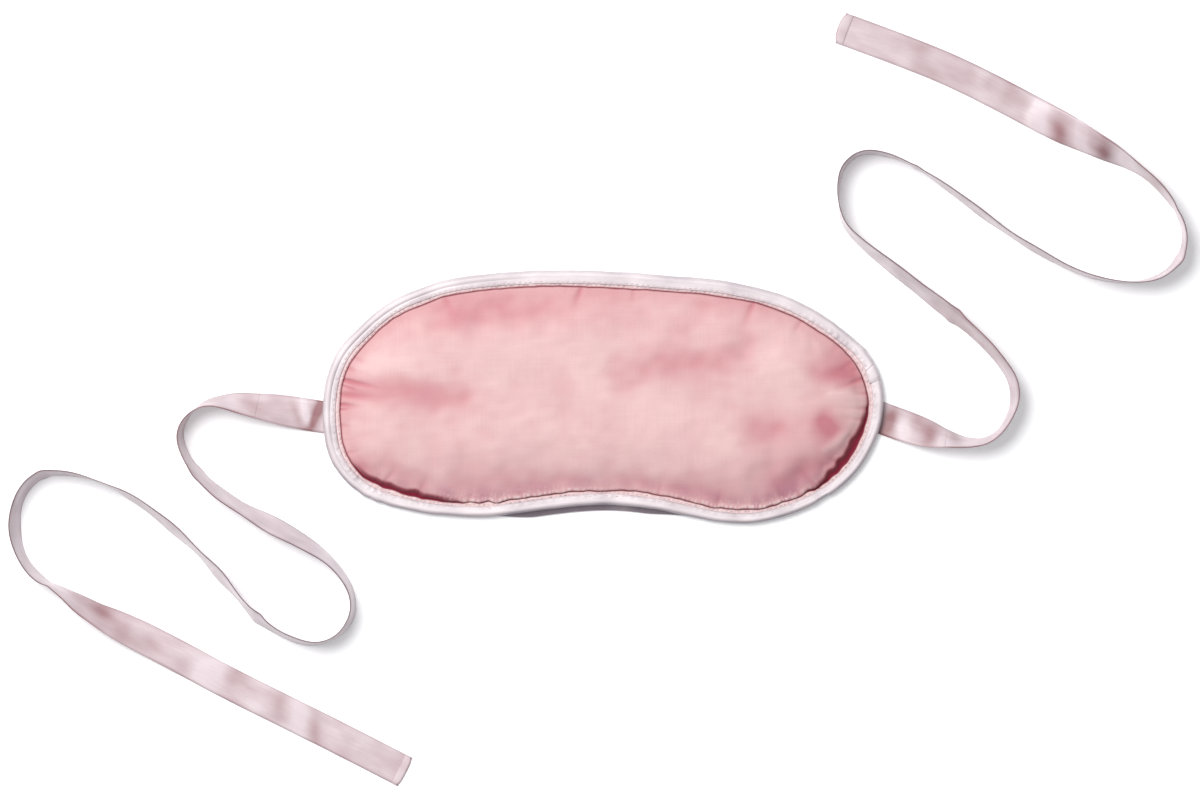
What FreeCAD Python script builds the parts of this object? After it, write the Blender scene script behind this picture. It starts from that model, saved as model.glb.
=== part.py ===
"""Padded sleep mask with two ribbon ties, lying on its back, in millimetres.

+X is the mask's length, +Y points to the brow edge and +Z out of the front face.
The origin is under the middle of the mask, on the surface that it lies on.
Every soft layer is cut at x = 0, where the mask folds in half, so each layer has
a left and a right half. The ribbons lie flat near the mask and at their ends,
and stand on edge in between.
"""

import FreeCAD
import Part
import math
import os

# Outline of the mask as shares of half its length and half its height,
# anticlockwise from the right end: brow edge, left end, left lobe, nose, right lobe.
OUTLINE = [
    (1.000, 0.040), (0.965, 0.275), (0.870, 0.508), (0.714, 0.730), (0.495, 0.888),
    (0.247, 0.950), (0.000, 0.985), (-0.280, 0.985), (-0.542, 0.922), (-0.732, 0.775),
    (-0.878, 0.533), (-0.972, 0.242), (-1.000, -0.126), (-0.984, -0.410), (-0.920, -0.660),
    (-0.790, -0.830), (-0.572, -0.925), (-0.380, -0.930), (-0.190, -0.880), (0.020, -0.845),
    (0.210, -0.890), (0.385, -0.970), (0.540, -0.985), (0.740, -0.855), (0.880, -0.646),
    (0.970, -0.350),
]

# Plan of each ribbon's middle line from its exit to its free end.
LEFT_ROUTE = [
    (-105.8, -7.5), (-118, -5.5), (-134, -2.4), (-148.5, -1.6), (-157.8, -7), (-160, -17.5),
    (-152.8, -28), (-139, -38), (-122, -48.6), (-106, -57), (-95.5, -68), (-92.8, -82),
    (-101, -92.5), (-115, -91.8), (-128, -82.5), (-140, -69), (-154, -54), (-171, -41.5),
    (-189, -32), (-205, -26), (-217, -31.5), (-223, -44), (-219.5, -60.5), (-208.5, -70.3),
    (-193, -80), (-172, -91.5), (-146, -104.3), (-117, -119.8), (-92, -132), (-74.4, -141),
]
RIGHT_ROUTE = [
    (105.8, -8.3), (118, -11.4), (133, -16.4), (146.5, -17), (155.5, -7.5), (154.8, 6.5),
    (145.5, 19.5), (132, 32.8), (114.5, 46.2), (97.5, 56), (87.8, 67.5), (87.4, 81), (94.5, 92),
    (107, 91.5), (121, 83), (139, 70), (160.5, 54.8), (182, 44.8), (202, 42), (216.5, 49.5),
    (219.5, 65), (209.5, 81), (190.5, 92), (164, 104.3), (133.3, 121.2), (109, 132.4),
    (89.4, 138.7),
]

SIZES = {
    # the mask
    "mask_length": 210.6,
    "mask_height": 95.0,
    "half_gap": 0.15,
    # satin tape folded over the edge
    "tape_width": 4.2,
    "tape_thickness": 0.5,
    "tape_floor": 0.6,
    "tape_slot": 2.6,
    "tape_front": 3.7,
    "join_length": 8.0,
    "join_width": 3.6,
    "join_thickness": 0.3,
    "join_inset": 0.3,
    "join_y": 10.0,
    "layer_gap": 0.02,
    # cloth layers
    "cloth_thickness": 0.5,
    "rim_inset": 0.9,
    "lining_clearance": 0.4,
    "lining_thickness": 0.6,
    "lining_rim_floor": 1.15,
    "lining_wall": 0.8,
    "blackout_floor": 1.75,
    "blackout_thickness": 0.4,
    "padding_floor": 2.25,
    "padding_rim": 0.7,
    "cover_floor": 3.05,
    "ditch_inset": 6.0,
    "cloth_clearance": 0.1,
    # stitches
    "thread_width": 0.4,
    "thread_height": 0.1,
    "stitch_inset": 3.3,
    "flange_stitch_inset": 4.9,
    # ribbons
    "ribbon_width": 12.0,
    "ribbon_thickness": 0.4,
    "ribbon_floor": 0.05,
    "tab_length": 2.4,
    "tab_thickness": 0.28,
    "tab_floor": 0.2,
    "tab_inset": 1.2,
    "tack_length": 11.0,
    "tack_width": 1.2,
    "tack_inset": 2.2,
    "hem_length": 3.0,
    "hem_thickness": 0.35,
}

# Dome of the front cover: (distance inside the ditch, height above the cover's floor).
DOME = [(0.0, 0.0), (2.2, 2.9), (7.0, 5.2), (16.0, 6.6)]
# A ribbon's runs that lie flat, next to the run on which it turns on edge.
FLAT_ROOT_RUNS = 2
FLAT_TAIL_RUNS = 5
# Each arc of a ribbon starts at this share of the shorter run beside it.
ARC_SHARE = 0.45
# Spans of the spline that follows half of the mask's edge, and samples of the whole edge.
HALF_SPANS = 26
EDGE_SAMPLES = 2000
SIDES = {"left": -1, "right": 1}

doc = FreeCAD.newDocument("sleep_mask")
sheet = doc.addObject("Spreadsheet::Sheet", "Sheet")
for row, (alias, value) in enumerate(SIZES.items(), start=1):
    sheet.set(f"A{row}", alias)
    sheet.set(f"B{row}", str(value))
    sheet.setAlias(f"B{row}", alias)
doc.recompute()


def size(alias):
    return float(sheet.get(alias))


# ---------------------------------------------------------------- outline


def closed_outline():
    """The mask's edge as one closed spline that fills its box, centred on the origin."""
    raw = Part.BSplineCurve()
    raw.interpolate([FreeCAD.Vector(x, y, 0) for x, y in OUTLINE], PeriodicFlag=True)
    samples = raw.discretize(EDGE_SAMPLES)
    low_x, high_x = min(p.x for p in samples), max(p.x for p in samples)
    low_y, high_y = min(p.y for p in samples), max(p.y for p in samples)
    length, height = size("mask_length"), size("mask_height")
    points = []
    for x, y in OUTLINE:
        across = (x - (low_x + high_x) / 2) / (high_x - low_x)
        up = (y - (low_y + high_y) / 2) / (high_y - low_y)
        points.append(FreeCAD.Vector(across * length, up * height, 0))
    curve = Part.BSplineCurve()
    curve.interpolate(points, PeriodicFlag=True)
    return curve


EDGE = closed_outline()


def inset_point(turn, inset):
    """The point that lies inset inside the edge, at a share of a turn anticlockwise."""
    first, last = EDGE.FirstParameter, EDGE.LastParameter
    at = first + (turn % 1.0) * (last - first)
    along = EDGE.tangent(at)[0]
    return EDGE.value(at) + FreeCAD.Vector(-along.y, along.x, 0) * inset


def crossing(low, high, x, inset):
    """The turn between low and high at which the inset edge crosses the given x."""
    rising = inset_point(high, inset).x > inset_point(low, inset).x
    for _ in range(50):
        middle = (low + high) / 2
        if (inset_point(middle, inset).x < x) == rising:
            low = middle
        else:
            high = middle
    return low


def half_edge(side, inset):
    """The inset edge of one half, from its brow crossing at the fold to its nose crossing."""
    x = SIDES[side] * size("half_gap")
    brow, nose = crossing(0.15, 0.35, x, inset), crossing(0.65, 0.85, x, inset)
    end = nose if side == "left" else nose - 1.0
    turns = [brow + (end - brow) * i / HALF_SPANS for i in range(HALF_SPANS + 1)]
    curve = Part.BSplineCurve()
    curve.interpolate([inset_point(t, inset) for t in turns])
    return curve


def edge_frame(x_side, y):
    """The point of the mask's edge at height y at one end, and its outward angle."""
    turns = [i / EDGE_SAMPLES for i in range(EDGE_SAMPLES)]
    ends = [t for t in turns if inset_point(t, 0).x * x_side > size("mask_length") / 3]
    at = min(ends, key=lambda t: abs(inset_point(t, 0).y - y))
    out = inset_point(at, 0) - inset_point(at, 1)
    return inset_point(at, 0), math.degrees(math.atan2(out.y, out.x))


# ---------------------------------------------------------------- document objects


def new_body(label):
    body = doc.addObject("PartDesign::Body", label)
    body.Label = label
    return body


def new_sketch(body, name, height):
    """A sketch parallel to the body's XY plane; height is an expression on the sheet."""
    sketch = body.newObject("Sketcher::SketchObject", name)
    plane = next(o for o in body.Origin.OriginFeatures if o.Role == "XY_Plane")
    sketch.AttachmentSupport = [(plane, "")]
    sketch.MapMode = "FlatFace"
    sketch.setExpression("AttachmentOffset.Base.z", height)
    return sketch


def add_half(sketch, side, inset, inner=None):
    """Draws one half of the mask inside inset, or the band between inset and inner."""
    outer = half_edge(side, inset)
    sketch.addGeometry(outer)
    brow, nose = outer.value(outer.FirstParameter), outer.value(outer.LastParameter)
    if inner is None:
        sketch.addGeometry(Part.LineSegment(nose, brow))
        return
    curve = half_edge(side, inner)
    inner_brow, inner_nose = curve.value(curve.FirstParameter), curve.value(curve.LastParameter)
    sketch.addGeometry(Part.LineSegment(nose, inner_nose))
    sketch.addGeometry(curve)
    sketch.addGeometry(Part.LineSegment(inner_brow, brow))


def pad(body, sketch, name, length):
    feature = body.newObject("PartDesign::Pad", name)
    feature.Profile = sketch
    feature.setExpression("Length", length)
    sketch.Visibility = False
    return feature


def half_pad(body, side, name, floor, length, inset, inner=None):
    """A flat layer of one half, or a band of it, from floor upwards."""
    sketch = new_sketch(body, name + "Sketch", floor)
    add_half(sketch, side, inset, inner)
    return pad(body, sketch, name, length)


def dome(body, side, name, kind, drop):
    """The puffed front of one half, lowered and drawn in by drop, added or taken away."""
    sketches = []
    for number, (inset, height) in enumerate(DOME):
        z = f"Sheet.cover_floor + {height - drop if number else 0}"
        sketch = new_sketch(body, f"{name}Sketch{number}", z)
        add_half(sketch, side, size("ditch_inset") + inset + drop)
        sketches.append(sketch)
    loft = body.newObject(f"PartDesign::{kind}", name)
    loft.Profile = sketches[0]
    loft.Sections = sketches[1:]
    loft.Ruled = True
    return loft


# ---------------------------------------------------------------- layers of each half


def back_lining(side):
    """Panel that rests on the surface, with a wall and a rim that goes into the tape."""
    body = new_body(f"{side}_back_lining")
    inside = size("tape_width") + size("lining_clearance")
    wall = inside + size("lining_wall")
    half_pad(body, side, "Panel", "0", "Sheet.lining_thickness", inside)
    half_pad(body, side, "Wall", "0", "Sheet.lining_rim_floor", inside, wall)
    rim = size("rim_inset")
    half_pad(body, side, "Rim", "Sheet.lining_rim_floor", "Sheet.cloth_thickness", rim, wall)
    return body


def blackout_layer(side):
    body = new_body(f"{side}_blackout_layer")
    inset = size("rim_inset")
    half_pad(body, side, "Cloth", "Sheet.blackout_floor", "Sheet.blackout_thickness", inset)
    return body


def padding(side):
    """Wadding: a thin rim in the tape and a puffed middle that fills the cover."""
    body = new_body(f"{side}_padding")
    half_pad(body, side, "Rim", "Sheet.padding_floor", "Sheet.padding_rim", size("rim_inset"))
    gap = size("cloth_thickness") + size("cloth_clearance")
    middle = size("ditch_inset") + gap
    step = "Sheet.cover_floor - Sheet.padding_floor"
    half_pad(body, side, "Step", "Sheet.padding_floor", step, middle)
    dome(body, side, "Middle", "AdditiveLoft", gap)
    return body


def front_cover(side):
    """Pink cover: a flange that goes into the tape and a puffed shell inside the ditch."""
    body = new_body(f"{side}_front_cover")
    rim = size("rim_inset")
    inner = size("ditch_inset") + size("cloth_thickness")
    dome(body, side, "Shell", "AdditiveLoft", 0)
    dome(body, side, "Hollow", "SubtractiveLoft", size("cloth_thickness"))
    half_pad(body, side, "Flange", "Sheet.cover_floor", "Sheet.cloth_thickness", rim, inner)
    return body


def edge_binding(side):
    """Satin tape folded over the edge: back flap, outer wall and front flap."""
    body = new_body(f"{side}_edge_binding")
    width, thick = size("tape_width"), size("tape_thickness")
    half_pad(body, side, "BackFlap", "Sheet.tape_floor", "Sheet.tape_thickness", 0, width)
    wall_floor, wall = "Sheet.tape_floor + Sheet.tape_thickness", "Sheet.tape_slot"
    half_pad(body, side, "Wall", wall_floor, wall, 0, thick)
    half_pad(body, side, "FrontFlap", "Sheet.tape_front", "Sheet.tape_thickness", 0, width)
    return body


def thread_line(side, place, floor, inset):
    """One run of stitching, as a thin raised line along the edge."""
    body = new_body(f"{side}_{place}_stitches")
    half_pad(body, side, "Thread", floor, "Sheet.thread_height", inset, inset + size("thread_width"))
    return body


# ---------------------------------------------------------------- ribbons


def arc_route(points):
    """Straight runs joined by tangent arcs: [(start, end)] or [(start, end, centre, radius, turn)]."""
    corners = [FreeCAD.Vector(x, y, 0) for x, y in points]
    pieces, start, radii = [], corners[0], []
    for before, corner, after in zip(corners, corners[1:], corners[2:]):
        come, leave = corner - before, after - corner
        turn = math.atan2(come.cross(leave).z, come.dot(leave))
        cut = ARC_SHARE * min(come.Length, leave.Length)
        radius = cut / math.tan(abs(turn) / 2)
        come.normalize()
        leave.normalize()
        begin, end = corner - come * cut, corner + leave * cut
        normal = FreeCAD.Vector(-come.y, come.x, 0) * math.copysign(1, turn)
        pieces.append((start, begin))
        pieces.append((begin, end, begin + normal * radius, radius, turn))
        radii.append(radius)
        start = end
    pieces.append((start, corners[-1]))
    return pieces, radii


def route_length(pieces):
    return sum(p[3] * abs(p[4]) if len(p) > 2 else (p[1] - p[0]).Length for p in pieces)


def beside(piece, offset):
    """The line or arc that runs beside a piece of the route, offset to its left."""
    start, end = piece[0], piece[1]
    if len(piece) == 2:
        along = (end - start).normalize()
        shift = FreeCAD.Vector(-along.y, along.x, 0) * offset
        return Part.LineSegment(start + shift, end + shift)
    centre, radius, turn = piece[2:]
    scale = (radius - offset * math.copysign(1, turn)) / radius
    ends = [centre + (start - centre) * scale, centre + (end - centre) * scale]
    chord = (start - centre).normalize() + (end - centre).normalize()
    middle = centre + chord.normalize() * radius * scale
    return Part.Arc(ends[0], middle, ends[1])


def add_strip(body, name, pieces, floor, width, height):
    """A strip of the given plan width along pieces, padded up by height."""
    sketch = new_sketch(body, name + "Sketch", floor)
    left = [beside(p, width / 2) for p in pieces]
    right = [beside(p, -width / 2) for p in pieces]
    for curve in left + right:
        sketch.addGeometry(curve)
    for near, far in ((left[0], right[0]), (left[-1], right[-1])):
        which = 0 if near is left[0] else -1
        ends = [c.toShape().Vertexes[which].Point for c in (near, far)]
        sketch.addGeometry(Part.LineSegment(*ends))
    pad(body, sketch, name, height)


def ribbon_tie(side, points):
    """One ribbon: flat at its root, standing on edge along its loops and flat at its tail."""
    pieces, radii = arc_route(points)
    print(f"{side} ribbon: length {route_length(pieces):.1f} mm, radii {[round(r, 1) for r in radii]}")
    body = new_body(f"{side}_tie_ribbon")
    thick, width = size("ribbon_thickness"), size("ribbon_width")
    # a run and the arc after it are two pieces, and each flat stretch shares its last run
    root = pieces[: 2 * FLAT_ROOT_RUNS + 1]
    upright = pieces[2 * FLAT_ROOT_RUNS : len(pieces) - 2 * FLAT_TAIL_RUNS]
    tail = pieces[len(pieces) - 2 * FLAT_TAIL_RUNS - 1 :]
    add_strip(body, "OnEdge", upright, "Sheet.ribbon_floor", thick, "Sheet.ribbon_width")
    add_strip(body, "Root", root, "Sheet.ribbon_floor", width, "Sheet.ribbon_thickness")
    add_strip(body, "Tail", tail, "Sheet.ribbon_floor", width, "Sheet.ribbon_thickness")
    expected = thick * width * sum(route_length(p) for p in (root, upright, tail))
    shared = thick * thick * (route_length(root[-1:]) + route_length(tail[:1]))
    return body, expected - shared


def end_hem(side, points):
    """The narrow turned hem that lies on the ribbon's free end."""
    hem = doc.addObject("Part::Box", f"{side}_tie_end_hem")
    hem.setExpression("Length", "Sheet.hem_length")
    hem.setExpression("Width", "Sheet.ribbon_width - 2 * Sheet.cloth_clearance")
    hem.setExpression("Height", "Sheet.hem_thickness")
    end, before = FreeCAD.Vector(*points[-1], 0), FreeCAD.Vector(*points[-2], 0)
    along = (end - before).normalize()
    across = FreeCAD.Vector(-along.y, along.x, 0)
    corner = end - along * size("hem_length")
    corner -= across * (size("ribbon_width") / 2 - size("cloth_clearance"))
    corner.z = size("ribbon_floor") + size("ribbon_thickness") + size("layer_gap")
    hem.Placement = FreeCAD.Placement(corner, along_x(along))
    return hem


def along_x(direction):
    angle = math.degrees(math.atan2(direction.y, direction.x))
    return FreeCAD.Rotation(FreeCAD.Vector(0, 0, 1), angle)


def across_edge(label, side, points, floor, length, width, height, inset):
    """A small block under the tape where the ribbon is sewn in, square to the mask's edge."""
    block = doc.addObject("Part::Box", label)
    block.setExpression("Length", length)
    block.setExpression("Width", width)
    block.setExpression("Height", height)
    sign = SIDES[side]
    edge, _ = edge_frame(sign, points[0][1])
    doc.recompute()
    x = edge.x - sign * inset - (block.Length.Value if sign > 0 else 0)
    y = points[0][1] - block.Width.Value / 2
    block.Placement = FreeCAD.Placement(FreeCAD.Vector(x, y, size(floor)), FreeCAD.Rotation())
    return block


def sewn_end(side, points):
    label = f"{side}_tie_tab"
    sizes = "Sheet.tab_length", "Sheet.ribbon_width", "Sheet.tab_thickness"
    return across_edge(label, side, points, "tab_floor", *sizes, size("tab_inset"))


def bar_tack(side, points):
    label = f"{side}_bar_tack"
    sizes = "Sheet.tack_width", "Sheet.tack_length", "Sheet.thread_height"
    return across_edge(label, side, points, "ribbon_floor", *sizes, size("tack_inset"))


def binding_join():
    """The tape's overlapped end, on its front flap at the right end of the brow edge."""
    join = doc.addObject("Part::Box", "binding_join")
    join.setExpression("Length", "Sheet.join_width")
    join.setExpression("Width", "Sheet.join_length")
    join.setExpression("Height", "Sheet.join_thickness")
    edge, angle = edge_frame(1, size("join_y"))
    rotation = FreeCAD.Rotation(FreeCAD.Vector(0, 0, 1), angle)
    inset = size("join_width") + size("join_inset")
    back = FreeCAD.Vector(-inset, -size("join_length") / 2, 0)
    corner = edge + rotation.multVec(back)
    stack = size("tape_thickness") + size("thread_height") + size("layer_gap")
    corner.z = size("tape_front") + stack
    join.Placement = FreeCAD.Placement(corner, rotation)
    return join


# ---------------------------------------------------------------- build, check, write

nodes = []
expected_volumes = {}
for side, route in (("left", LEFT_ROUTE), ("right", RIGHT_ROUTE)):
    nodes += [back_lining(side), blackout_layer(side), padding(side), front_cover(side)]
    nodes.append(edge_binding(side))
    tape_top = "Sheet.tape_front + Sheet.tape_thickness"
    nodes.append(thread_line(side, "front", tape_top, size("stitch_inset")))
    tape_under = "Sheet.tape_floor - Sheet.thread_height"
    nodes.append(thread_line(side, "back", tape_under, size("stitch_inset")))
    flange_top = "Sheet.cover_floor + Sheet.cloth_thickness"
    nodes.append(thread_line(side, "flange", flange_top, size("flange_stitch_inset")))
    ribbon, volume = ribbon_tie(side, route)
    expected_volumes[ribbon.Label] = volume
    nodes += [ribbon, end_hem(side, route), sewn_end(side, route), bar_tack(side, route)]
nodes.append(binding_join())
doc.recompute()

for item in doc.Objects:
    if "Invalid" in item.State or "Error" in item.State:
        raise RuntimeError(f"{item.Name} failed: {item.State}")
for node in nodes:
    if node.Shape.isNull() or not node.Shape.isValid():
        raise RuntimeError(f"{node.Label} has no valid shape")
for label, expected in expected_volumes.items():
    found = doc.getObjectsByLabel(label)[0].Shape.Volume
    print(f"{label}: volume {found:.1f} mm3, section x length {expected:.1f} mm3")

os.makedirs("parts", exist_ok=True)
for node in nodes:
    node.Shape.exportStep(f"parts/{node.Label}.step")
    box = node.Shape.BoundBox
    print(f"{node.Label:24s} solids {len(node.Shape.Solids)}  z {box.ZMin:.2f} to {box.ZMax:.2f}")
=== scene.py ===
"""Looks of a padded sleep mask with two satin ribbon ties, lying on a white table."""

import math

import bmesh
import bpy
import numpy as np
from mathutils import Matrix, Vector
from mathutils.bvhtree import BVHTree


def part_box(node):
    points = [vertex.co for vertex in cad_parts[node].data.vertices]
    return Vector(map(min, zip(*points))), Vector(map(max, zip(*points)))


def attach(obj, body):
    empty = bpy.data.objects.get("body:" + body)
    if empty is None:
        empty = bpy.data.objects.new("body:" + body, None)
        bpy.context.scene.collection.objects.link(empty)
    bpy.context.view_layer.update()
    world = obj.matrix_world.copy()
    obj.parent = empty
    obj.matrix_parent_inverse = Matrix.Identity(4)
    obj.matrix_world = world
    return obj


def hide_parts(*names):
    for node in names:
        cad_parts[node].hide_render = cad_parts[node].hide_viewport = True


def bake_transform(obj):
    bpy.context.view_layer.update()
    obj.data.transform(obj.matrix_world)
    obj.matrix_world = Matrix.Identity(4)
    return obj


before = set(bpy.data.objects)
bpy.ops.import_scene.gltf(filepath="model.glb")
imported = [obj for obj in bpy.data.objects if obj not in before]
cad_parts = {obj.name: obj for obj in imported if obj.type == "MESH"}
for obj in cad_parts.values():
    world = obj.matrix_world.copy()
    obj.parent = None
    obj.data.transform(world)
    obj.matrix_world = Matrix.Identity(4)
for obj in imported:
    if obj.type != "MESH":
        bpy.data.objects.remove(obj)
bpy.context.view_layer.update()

MM = 0.001

# ---- the mask's outline

# Shares of half the mask's length and half its height, anticlockwise from the right end.
OUTLINE = [
    (1.000, 0.040), (0.965, 0.275), (0.870, 0.508), (0.714, 0.730), (0.495, 0.888),
    (0.247, 0.950), (0.000, 0.985), (-0.280, 0.985), (-0.542, 0.922), (-0.732, 0.775),
    (-0.878, 0.533), (-0.972, 0.242), (-1.000, -0.126), (-0.984, -0.410), (-0.920, -0.660),
    (-0.790, -0.830), (-0.572, -0.925), (-0.380, -0.930), (-0.190, -0.880), (0.020, -0.845),
    (0.210, -0.890), (0.385, -0.970), (0.540, -0.985), (0.740, -0.855), (0.880, -0.646),
    (0.970, -0.350),
]
AROUND = 1200
SPLINE_STEPS = 6000


def closed_spline(points, count):
    """count evenly spaced points of the closed cubic spline through points."""
    p = np.array(points, float)
    n = len(p)
    step = np.linalg.norm(np.roll(p, -1, axis=0) - p, axis=1)
    before = np.roll(step, 1)
    matrix = np.zeros((n, n))
    for i in range(n):
        matrix[i, i - 1] += before[i]
        matrix[i, i] += 2 * (before[i] + step[i])
        matrix[i, (i + 1) % n] += step[i]
    slope = (np.roll(p, -1, axis=0) - p) / step[:, None]
    bend = np.linalg.solve(matrix, 6 * (slope - np.roll(slope, 1, axis=0)))
    at = np.concatenate([[0], np.cumsum(step)])
    u = np.linspace(0, at[-1], SPLINE_STEPS, endpoint=False)
    i = np.clip(np.searchsorted(at, u, side="right") - 1, 0, n - 1)
    j = (i + 1) % n
    h = step[i][:, None]
    a, b = (at[i + 1] - u)[:, None], (u - at[i])[:, None]
    fine = (bend[i] * a**3 + bend[j] * b**3) / (6 * h)
    fine += (p[i] / h - bend[i] * h / 6) * a + (p[j] / h - bend[j] * h / 6) * b
    return even_points(fine, count)


def distances(line):
    """Distance along a line to each of its points."""
    return np.concatenate([[0], np.cumsum(np.linalg.norm(np.diff(line, axis=0), axis=1))])


def even_points(fine, count):
    """count evenly spaced points of a closed line."""
    loop = np.vstack([fine, fine[:1]])
    at = distances(loop)
    u = np.linspace(0, at[-1], count, endpoint=False)
    return np.column_stack([np.interp(u, at, loop[:, k]) for k in range(2)])


def fit_to_cad(points):
    """The outline scaled to the box of the two halves of the edge binding."""
    boxes = [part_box("left_edge_binding"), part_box("right_edge_binding")]
    low = np.array([min(b[0][k] for b in boxes) for k in range(2)])
    high = np.array([max(b[1][k] for b in boxes) for k in range(2)])
    share = (points - points.min(0)) / (points.max(0) - points.min(0))
    return low + share * (high - low)


HALF_SIZE = np.array([105.3, 47.5])
EDGE = fit_to_cad(closed_spline(np.array(OUTLINE) * HALF_SIZE, AROUND))
ALONG = np.roll(EDGE, -1, axis=0) - np.roll(EDGE, 1, axis=0)
ALONG /= np.linalg.norm(ALONG, axis=1)[:, None]
INWARD = np.column_stack([-ALONG[:, 1], ALONG[:, 0]])
PERIMETER = np.linalg.norm(np.roll(EDGE, -1, axis=0) - EDGE, axis=1).sum()
ARC = np.arange(AROUND) / AROUND * PERIMETER


def inset_line(inset):
    """The edge moved inwards, by one distance or by one for each point, in metres."""
    return EDGE + INWARD * np.broadcast_to(np.asarray(inset, float), (AROUND,))[:, None]


def arc_at(x, y):
    """Distance along the edge of its point nearest (x, y), which is in mm."""
    return ARC[np.argmin(np.hypot(EDGE[:, 0] - x * MM, EDGE[:, 1] - y * MM))]


def arc_gap(place):
    """How far each edge point is past a place on the edge, the short way round."""
    return (ARC - place + PERIMETER / 2) % PERIMETER - PERIMETER / 2


def near(x, y, reach):
    """1 at the edge point nearest (x, y), falling smoothly to 0 reach mm along the edge."""
    return smooth(1 - np.abs(arc_gap(arc_at(x, y))) / (reach * MM))


def smooth(t):
    """A soft step from 0 at t = 0 to 1 at t = 1."""
    t = np.clip(t, 0, 1)
    return t * t * (3 - 2 * t)


def bell(gap, reach):
    """1 where gap is 0, falling away over about reach."""
    return np.exp(-((gap / reach) ** 2))


def soft_noise(x, y, wavelength, seed, waves=28):
    """Smooth noise of about unit size, as a sum of waves of nearly one length."""
    draw = np.random.default_rng(seed)
    total = np.zeros(np.shape(x))
    for _ in range(waves):
        angle, phase = draw.uniform(0, 2 * math.pi, 2)
        number = 2 * math.pi / (wavelength * draw.uniform(0.7, 1.5))
        total += np.cos(number * (x * math.cos(angle) + y * math.sin(angle)) + phase)
    return total / math.sqrt(waves / 2)


def edge_noise(wavelength, seed):
    """Smooth noise along the edge, with its wavelength in mm."""
    return soft_noise(EDGE[:, 0], EDGE[:, 1], wavelength * MM, seed)


# ---- mesh helpers


def add_object(name, data):
    thing = bpy.data.objects.new(name, data)
    bpy.context.scene.collection.objects.link(thing)
    return thing


def new_mesh(name, points, faces, uv=None, **attributes):
    """A smooth-shaded mesh object with a UV map in metres and per-point attributes."""
    mesh = bpy.data.meshes.new(name)
    mesh.from_pydata(np.asarray(points).tolist(), [], faces)
    mesh.update()
    mesh.polygons.foreach_set("use_smooth", [True] * len(mesh.polygons))
    if uv is not None:
        corner = np.zeros(len(mesh.loops), np.int32)
        mesh.loops.foreach_get("vertex_index", corner)
        mesh.uv_layers.new(name="cloth").data.foreach_set(
            "uv", np.asarray(uv, np.float32)[corner].ravel()
        )
    for key, values in attributes.items():
        mesh.attributes.new(key, "FLOAT", "POINT").data.foreach_set(
            "value", np.asarray(values, np.float32).ravel()
        )
    return add_object(name, mesh)


def ring_faces(rings, count, closed=False, open_rings=False):
    """Quads between neighbouring rings of count points. closed joins the last ring to the
    first, and open_rings leaves a gap in each, which makes them the rows of a grid."""
    k = np.arange(count - open_rings)
    after = (k + 1) % count
    faces = []
    for r in range(rings if closed else rings - 1):
        a, b = r * count, (r + 1) % rings * count
        faces += np.column_stack([a + k, a + after, b + after, b + k]).tolist()
    return faces


def tube_faces(rings, count):
    """Faces of a tube of rings of count points, with a flat face at each end."""
    ends = [list(range(count))[::-1], [(rings - 1) * count + k for k in range(count)]]
    return ring_faces(rings, count) + ends


def raised_line(inset, height):
    """The edge moved inwards by inset and up to height, each one number or one per point."""
    return np.column_stack([inset_line(inset), np.broadcast_to(height, (AROUND,))])


def around_mesh(name, profile, **attributes):
    """A closed band round the mask: profile is a list of (inset, height) pairs in mm."""
    rings = [raised_line(inset * MM, height * MM) for inset, height in profile]
    across = [0.0]
    for a, b in zip(rings, rings[1:]):
        across.append(across[-1] + float(np.linalg.norm(b - a, axis=1).mean()))
    uv = np.column_stack([np.tile(ARC, len(rings)), np.repeat(across, AROUND)])
    faces = ring_faces(len(rings), AROUND, closed=True)
    return new_mesh(name, np.vstack(rings), faces, uv, **attributes)


def finish_piece(piece, material, nodes):
    """Gives a piece its material and slot, and hides the CAD nodes it stands for."""
    piece.data.materials.append(material)
    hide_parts(*nodes)


def finish_layer(piece, material, layer):
    """Finishes a piece that stands for both halves of a layer, across the nose."""
    finish_piece(piece, material, [f"left_{layer}", f"right_{layer}"])
    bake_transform(piece)


# ---- materials


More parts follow.
